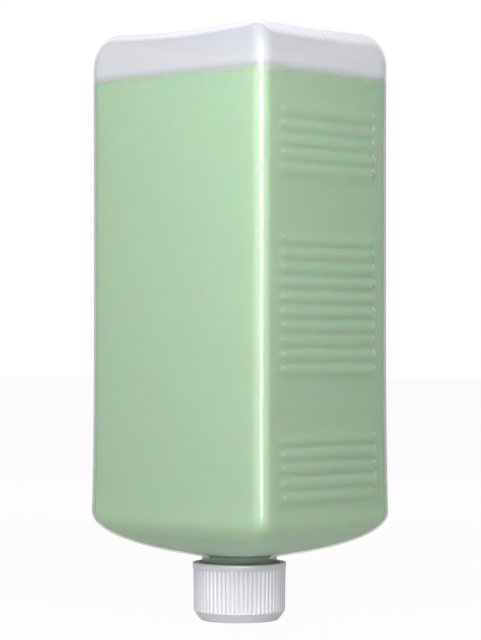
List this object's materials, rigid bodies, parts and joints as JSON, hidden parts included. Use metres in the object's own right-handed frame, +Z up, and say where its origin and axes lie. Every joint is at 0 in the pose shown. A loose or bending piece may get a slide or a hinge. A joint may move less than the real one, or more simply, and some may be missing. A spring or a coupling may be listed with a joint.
{
  "type": "hand soap refill pack",
  "caption": "Rectangular translucent bottle of liquid hand soap with grip ribs, standing cap-down on its ribbed screw cap.",
  "frame": {"origin": "middle of the cap's flat end, the lowest point of the pack", "axes": "+Z up to the bottle's base, +X to a ribbed narrow side, -Y to the plain front"},
  "size_m": [0.0896, 0.0734, 0.2188],
  "materials": {
    "bottle_plastic": "natural translucent blow-moulded plastic, smooth satin skin",
    "green_soap": "pale green pearly liquid",
    "cap_plastic": "white moulded plastic, satin",
    "liner_foam": "white foam disc, matte"
  },
  "bodies": {
    "bottle": {"bottle": "bottle_plastic", "soap_fill": "green_soap"},
    "liner": {"cap_liner": "liner_foam"},
    "cap": {"screw_cap": "cap_plastic"}
  },
  "joints": [
    {"name": "cap_lift", "type": "slide", "parent": "bottle", "child": "liner", "axis": [0, 0, -1], "range_m": [0, 0.0074]},
    {"name": "cap_turn", "type": "hinge", "parent": "liner", "child": "cap", "pos_m": [0, 0, 0], "axis": [0, 0, -1], "range_deg": [0, 630]}
  ],
  "couplings": [
    {"joint": "cap_lift", "follows": "cap_turn", "m_per_rad": 0.00066845}
  ]
}
